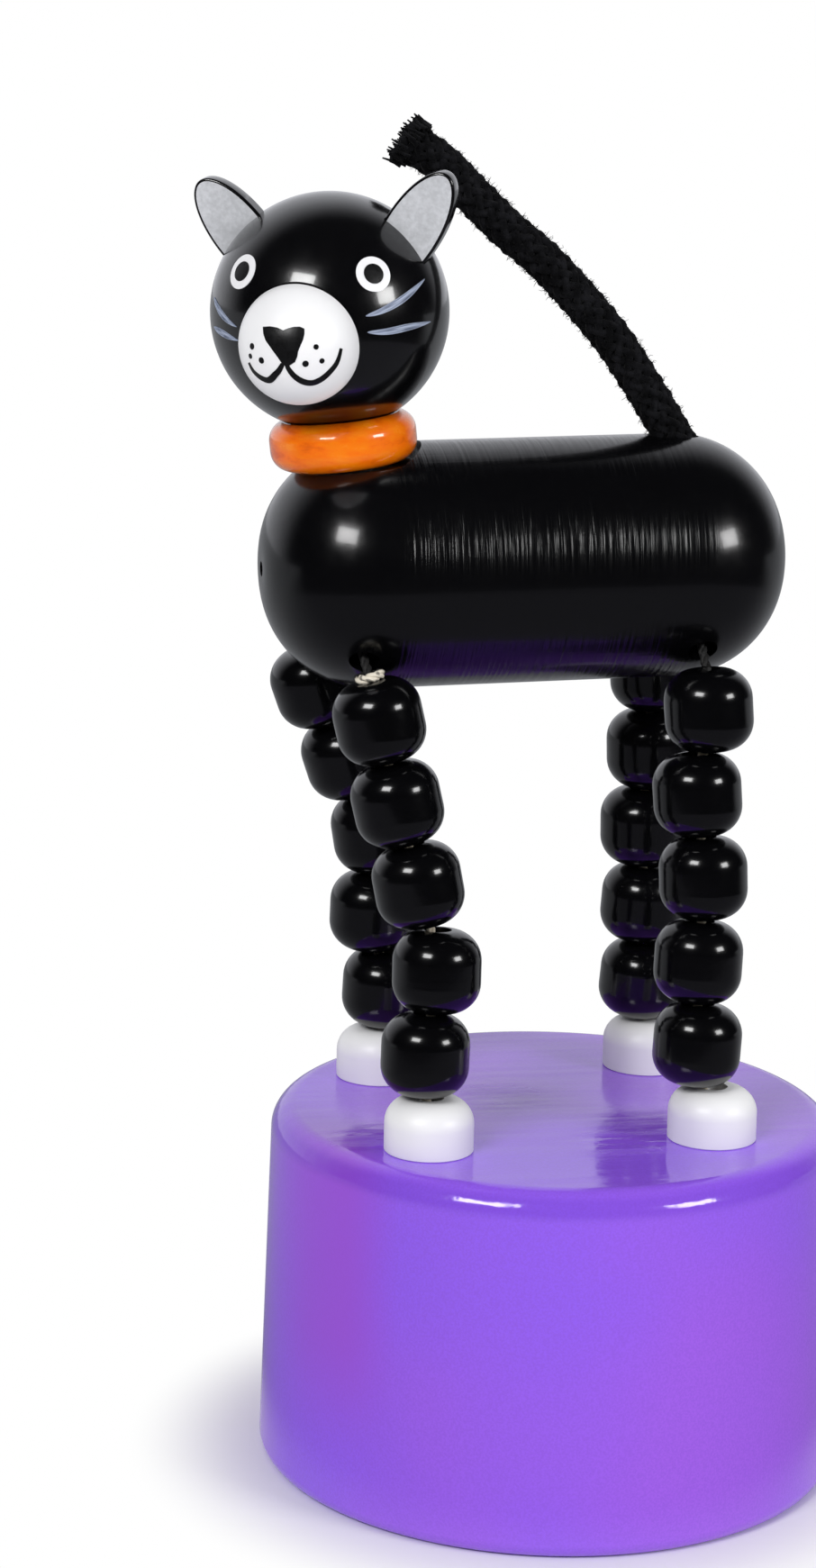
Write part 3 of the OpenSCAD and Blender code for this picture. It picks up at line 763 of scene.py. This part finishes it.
def film_over(piece, middle, radius, paint):
    """Lays a piece on a ball as a film of paint."""
    for corner in piece.data.vertices:
        corner.co = middle + (radius - 0.2 * film) * (corner.co - middle).normalized()
    piece.data.materials.append(paint)
    alone(piece)
    bpy.ops.object.mode_set(mode="EDIT")
    bpy.ops.mesh.select_all(action="SELECT")
    bpy.ops.mesh.normals_make_consistent(inside=False)
    mesh = bmesh.from_edit_mesh(piece.data)
    mesh.faces.ensure_lookup_table()
    if mesh.faces[0].normal.dot(mesh.faces[0].calc_center_median() - middle) < 0:
        bpy.ops.mesh.flip_normals()
    bpy.ops.object.mode_set(mode="OBJECT")
    wall = piece.modifiers.new("film", "SOLIDIFY")
    wall.thickness, wall.offset = film, 1
    bpy.ops.object.modifier_apply(modifier="film")
    bpy.ops.object.shade_smooth_by_angle(angle=math.radians(40))
    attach(piece, "head")


def spot_of_paint(name, outline, middle, radius, paint):
    """A filled shape of paint on a ball."""
    bpy.ops.object.select_all(action="DESELECT")
    bpy.ops.mesh.primitive_circle_add(vertices=len(outline), fill_type="TRIFAN")
    piece = bpy.context.object
    piece.name = piece.data.name = name
    hub = sum(outline, Vector()) / len(outline)
    rim = sorted((v for v in piece.data.vertices if v.co.length > 0.5), key=lambda v: v.index)
    for corner in piece.data.vertices:
        corner.co = hub
    for corner, point in zip(rim, outline):
        corner.co = point
    bpy.ops.object.mode_set(mode="EDIT")
    bpy.ops.mesh.select_all(action="SELECT")
    bpy.ops.mesh.subdivide(number_cuts=3)
    bpy.ops.object.mode_set(mode="OBJECT")
    film_over(piece, middle, radius, paint)


def disc(middle, at, size, corners=40):
    """Points round a place on a ball."""
    way = (at - middle).normalized()
    return [at + size * out_from(way, 2 * math.pi * i / corners) for i in range(corners)]


def brush_stroke(name, spots, middle, radius, width, paint, pointed, steps=39):
    """A stroke of paint on a ball, through a few spots, as wide as the brush at each share of its length."""
    line = through([on_ball(spot, middle, radius) for spot in spots], steps + 1)
    bpy.ops.object.select_all(action="DESELECT")
    bpy.ops.mesh.primitive_grid_add(x_subdivisions=steps, y_subdivisions=4)
    piece = bpy.context.object
    piece.name = piece.data.name = name
    for corner in piece.data.vertices:
        i = round((corner.co.x + 1) / 2 * steps)
        way = line[min(i + 1, steps)] - line[max(i - 1, 0)]
        side = way.cross(line[i] - middle).normalized()
        corner.co = line[i] + corner.co.y * width / 2 * pointed(i / steps) * side
    film_over(piece, middle, radius, paint)


white_paint, place = finish("white_paint")
dabs = place.noise(1800, 2)
coat(place, {"Base Color": dabs.tint((0.80, 0.80, 0.82), (0.92, 0.92, 0.93)), "Roughness": 0.35 + 0.15 * dabs,
             "Normal": dabs.bump(0.01 * mm)})
black_paint, place = finish("black_paint")
dabs = place.noise(1800, 2)
coat(place, {"Base Color": dabs.tint((0.003, 0.003, 0.003), (0.008, 0.008, 0.009)),
             "Roughness": 0.22 + 0.14 * dabs, "Specular IOR Level": 0.35, "Normal": dabs.bump(0.01 * mm)})
whisker_paint, place = finish("whisker_paint")
bristles = place.node("TexCoord", {}, {}, out="UV").stretched((2.5, 9, 1)).noise(1, 2)
coat(place, {"Base Color": bristles.ramp(0.35, 0.62).tint((0.06, 0.08, 0.14), (0.42, 0.48, 0.62)),
             "Roughness": 0.45 + 0.2 * bristles, "Normal": bristles.bump(0.02 * mm)})

for side, spot in zip(("far", "near"), eye_spots):
    at = on_ball(spot, head_at, head_r)
    spot_of_paint(f"eye_white_{side}", disc(head_at, at, eye_r), head_at, head_r, white_paint)
    spot_of_paint(f"eye_pupil_{side}", disc(head_at, at, pupil_r), head_at, head_r + film, black_paint)
spot_of_paint("nose", [on_ball(s, muzzle_at, muzzle_r) for s in nose_spots], muzzle_at, muzzle_r, black_paint)
for side, spots in zip(("far", "near"), mouth_spots):
    brush_stroke(f"mouth_{side}", spots, muzzle_at, muzzle_r, mouth_w, black_paint,
                 lambda t: 0.5 + 0.9 * math.sin(math.pi * min(t * 0.8 + 0.12, 1)))
for k, spot in enumerate(dot_spots):
    at = on_ball(spot, muzzle_at, muzzle_r)
    fuller = 1.2 if k in fuller_dots else 1
    spot_of_paint(f"whisker_dot_{k}", disc(muzzle_at, at, dot_r * fuller), muzzle_at, muzzle_r, black_paint)
for k, spots in enumerate(whisker_spots):
    brush_stroke(f"whisker_{k}", spots, head_at, head_r, whisker_w, whisker_paint,
                 lambda t: 0.08 + math.sin(math.pi * t ** 0.8) ** 0.8)

# The ears are oval plates of thin wood, cut off at the root and glued in their slots. They are black all
# over, with eased edges, and a matt grey coat on the front stops short of the edge.
ear_edge, grey_border = 0.2 * mm, 0.04 * mm
ear_grey, place = finish("ear_grey")
tooth, wash = place.noise(2600, 3), place.noise(300, 2)
greys = (0.5 * tooth + 0.5 * wash).ramp(0.3, 0.7).tint((0.46, 0.47, 0.49), (0.63, 0.64, 0.67))
coat(place, {"Base Color": greys, "Roughness": 0.72 + 0.15 * tooth, "Normal": tooth.bump(0.02 * mm)})
for side, name in ((left_ear, "left"), (right_ear, "right")):
    plate = ear_plate("plate_ear_" + name, side, 0)
    look = -(ear_place(side).to_3x3() @ Vector((0, 0, 1)))
    plate.data.materials.append(head_lacquer)
    plate.data.materials.append(ear_grey)
    bpy.ops.object.mode_set(mode="EDIT")
    pick("EDGE", lambda e: abs((e.verts[1].co - e.verts[0].co).normalized().dot(look)) < 0.5)
    bpy.ops.mesh.bevel(offset=ear_edge, segments=4, profile=0.5, affect="EDGES")
    pick("FACE", lambda f: f.normal.dot(look) > 0.999)
    bpy.ops.mesh.inset(thickness=grey_border)
    bpy.context.object.active_material_index = 1
    bpy.ops.object.material_slot_assign()
    bpy.ops.object.mode_set(mode="OBJECT")
    polish(plate)
    wooden(plate, head_lacquer, "head", "ear_felt", "ear_" + name)

# The strings are three-ply cotton. Each runs from a knot in the button up one leg, through the torso and
# down the other leg of its pair, and shows only between the beads. A third string holds the head.
ply_count, ply_d, ply_out, ply_pitch = 3, 0.46 * mm, 0.22 * mm, 2.6 * mm
knot_z, knot_h, knot_reach = 7.28 * mm, 1.2 * mm, 0.36 * mm
foot_bend, hip_gap, link_share = 1.2 * mm, 0.15 * mm, 0.3
cotton_string, place = finish("cotton_string")
fibre, soil = place.noise(5200, 2), place.noise(400, 2)
coat(place, {"Base Color": soil.tint((0.52, 0.45, 0.33), (0.74, 0.68, 0.55)), "Roughness": 0.85,
             "Sheen Weight": 0.2, "Normal": fibre.bump(0.05 * mm)})

lacquered_string, place = finish("lacquered_string")
fibre = place.noise(5200, 2)
coat(place, {"Base Color": fibre.tint((0.004, 0.004, 0.005), (0.014, 0.013, 0.012)),
             "Roughness": 0.5 + 0.3 * fibre, "Normal": fibre.bump(0.05 * mm)})


def twisted(route):
    """The plies of a string along a route."""
    def ply(k):
        return laid(route, lambda gone: (2 * math.pi * (gone / ply_pitch + k / ply_count), ply_out))
    return [ply(k) for k in range(ply_count)]


def string_piece(name, routes, *nodes, dye=cotton_string):
    """A piece of string along each route, as one mesh."""
    piece = yarns(name, [ply for route in routes for ply in twisted(route)], ply_d)
    piece.data.materials.append(dye)
    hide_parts(*nodes)
    return piece


def straight(start, end, count=16):
    """Points on a line from one place to another."""
    return [start.lerp(end, i / (count - 1)) for i in range(count)]


def curved(start, start_way, end, end_way, count=20):
    """Points from one place to another, along a way at each end."""
    reach = (end - start).length / 3
    a, b = start + reach * start_way, end - reach * end_way
    return [(1 - t) ** 3 * start + 3 * t * (1 - t) ** 2 * a + 3 * t * t * (1 - t) * b + t ** 3 * end
            for t in (i / (count - 1) for i in range(count))]


knot_top = knot_z + knot_h
for end in ("front", "rear"):
    pair, node = (end + "_left", end + "_right"), end + "_string"
    low_runs, high_runs = [], []
    for n in pair:
        foot = feet_at[n]
        low_runs.append(straight(Vector((foot.x, foot.y, knot_top)), Vector((foot.x, foot.y, ceiling_z)), 30))
        hip_way = (apexes[end] - hips[n]).normalized()
        high_runs.append(straight(hips[n] + hip_gap * hip_way, apexes[end], 24))
    low = string_piece(f"string_{end}_in_drum", low_runs, node)
    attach(low, "base")
    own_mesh(low)
    high = string_piece(f"string_{end}_in_torso", high_runs, node, dye=lacquered_string)
    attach(high, "torso")
    for n in pair:
        foot = feet_at[n]
        below, below_way, base = foot - (drum_h - ceiling_z) * upward, upward, "base"
        for k, (middle, axis) in enumerate(legs[n], 1):
            if k == 1:
                route = straight(below, foot, 12)[:-1] + curved(foot, below_way, middle, axis, 24)
                start = foot + (foot_h - foot_bend) * upward
            else:
                route = curved(below, below_way, middle, axis)
                start = below + link_share * bead_len * below_way
            link = string_piece(f"string_{n}_{k}", [route], node)
            tuple(middle - link_share * bead_len * axis)
            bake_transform(link)
            below, below_way, base = middle, axis, f"{n}_bead_{k}"
        last = string_piece(f"string_{n}_hip", [straight(below, hips[n] + 0.05 * mm * below_way)], node,
                            dye=lacquered_string)
        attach(last, base)

neck_low, neck_high = seat_at + 0.3 * mm * neck_axis, chin + 6 * mm * neck_axis
neck = string_piece("string_neck", [straight(neck_low, neck_high, 40)], "neck_string")
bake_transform(neck)

# At the front left hip the string takes a turn on top of its bead before it goes into the torso.
# It stays pale on the outside. Its inner half, towards the torso's middle, is painted dark as shade, and it
# has a few dark blots.
loop_r, loop_low, loop_climb, loop_share, loop_steps = 0.95 * mm, 0.22 * mm, 0.03 * mm, 0.9, 30
hitch_string, place = finish("hitch_string")
hitch_at, hitch_axis = hips["front_left"], legs["front_left"][-1][1]
fibre, blot = place.noise(5200, 2), place.noise(1300, 2).ramp(0.52, 0.62)
# The inner half of the loop is painted dark as shade, and dark blots are scattered over the rest.
inner_half_shade = place.along("Y").ramp(hitch_at.y - 0.6 * mm, hitch_at.y)
shade_and_blots = 1 - (1 - inner_half_shade) * (1 - 0.7 * blot)
coat(place, {"Base Color": shade_and_blots.tint((0.78, 0.72, 0.6), (0.008, 0.008, 0.008)), "Roughness": 0.8,
             "Normal": fibre.bump(0.05 * mm)})
loop = []
for i in range(loop_steps + 1):
    angle = loop_share * 2 * math.pi * i / loop_steps
    climb = loop_low + loop_climb * angle
    loop.append(hitch_at + climb * hitch_axis + loop_r * out_from(hitch_axis, angle))
hitch = string_piece("string_front_left_hitch", [loop], "front_string", dye=hitch_string)
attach(hitch, "front_left_bead_5")

# Each end of a leg string is tied off under the button in a plain overhand knot.
# The knot is drawn up into its pocket by the pull of the spring.
tie, tie_steps, tie_share = [], 60, 0.97
for i in range(tie_steps + 1):
    t = 2 * math.pi * (i / tie_steps * tie_share + (1 - tie_share) / 2)
    x, y = math.sin(t) + 2 * math.sin(2 * t), math.cos(t) - 2 * math.cos(2 * t)
    tie.append(Vector((x, y, -1.3 * math.sin(3 * t))) * knot_reach)
knots = string_piece("string_knot_ties", [
    [Vector((spot.x, spot.y, knot_z)) + p for p in tie] for spot in feet_at.values()], "string_knots")
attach(knots, "button")

# The studio: a pale table that runs out to white, a soft light on each side above the camera, and white
# surroundings that are dim on the camera's side, as a room is behind a photographer. The lacquers mirror
# the table as far as its front edge.
aim, lamp_far, table_size = Vector((0, 0, 0.075)), 0.6, 6
lamps = (("left", -0.436, 0.424, 0.794, 0.22, 0.14, 1.67), ("right", 0.782, 0.224, 0.581, 0.19, 0.14, 1.32))
white = (1, 1, 1)
bpy.ops.object.select_all(action="DESELECT")
bpy.ops.mesh.primitive_plane_add(size=table_size)
table = bpy.context.object
table.name = "table"
table_white, place = finish("table_white")
reach = place.node("VectorMath", {"operation": "LENGTH"}, {0: place}, out="Value")
camera_ray, glossy, clear = (place.node("LightPath", {}, {}, out=f"Is {kind} Ray")
                             for kind in ("Camera", "Glossy", "Transmission"))
far = reach.ramp(0.0258, 0.038) * (camera_ray + glossy + clear).ramp(0, 1)
behind, front_edge = place.along("Y").ramp(-0.05, 0.12), reach.ramp(0.235, 0.265)
before = front_edge.tint((0.145, 0.145, 0.165), (0.02, 0.02, 0.022))
mirrored = behind.tint(before, (0.35, 0.36, 0.38))
paper = place.node("BsdfPrincipled", {}, {
    "Base Color": place.noise(40, 2).tint((0.86, 0.86, 0.87), (0.90, 0.90, 0.91)), "Roughness": 0.8,
    "Normal": place.noise(900, 2).bump(0.02 * mm)})
glow = place.node("Emission", {}, {"Color": camera_ray.tint(mirrored, white), "Strength": 1.0})
place.node("OutputMaterial", {}, {"Surface": place.node("MixShader", {}, {0: far, 1: paper, 2: glow})})
table.data.materials.append(table_white)

for name, across, rise, near, wide, tall, power in lamps:
    light = bpy.data.lights.new("soft_" + name, "AREA")
    light.shape, light.size, light.size_y, light.energy = "RECTANGLE", wide, tall, power
    lamp = bpy.data.objects.new("soft_" + name, light)
    bpy.context.scene.collection.objects.link(lamp)
    way = (across * right + rise * up + near * back).normalized()
    lamp.location = aim + lamp_far * way
    lamp.rotation_euler = way.to_track_quat("Z", "Y").to_euler()

world = bpy.data.worlds.new("studio")
bpy.context.scene.world = world
world.use_nodes = True
world.node_tree.nodes.clear()
place = Flow(world.node_tree, None).node("TexCoord", {}, {}, out="Generated")
behind, above = place.along("Y").ramp(0.2, 0.8), place.along("Z").ramp(0.1, 0.9)
camera_ray, glossy = (place.node("LightPath", {}, {}, out=f"Is {kind} Ray") for kind in ("Camera", "Glossy"))
fill = above.tint((0.26, 0.26, 0.27), (0.56, 0.56, 0.57))
mirrored = behind.tint((0.012, 0.012, 0.014), (0.8, 0.81, 0.86))
sky = place.node("Background", {}, {
    "Color": camera_ray.tint(glossy.tint(fill, mirrored), white), "Strength": 1.0})
place.node("OutputWorld", {}, {"Surface": sky})
bpy.context.scene.view_settings.view_transform = "Standard"
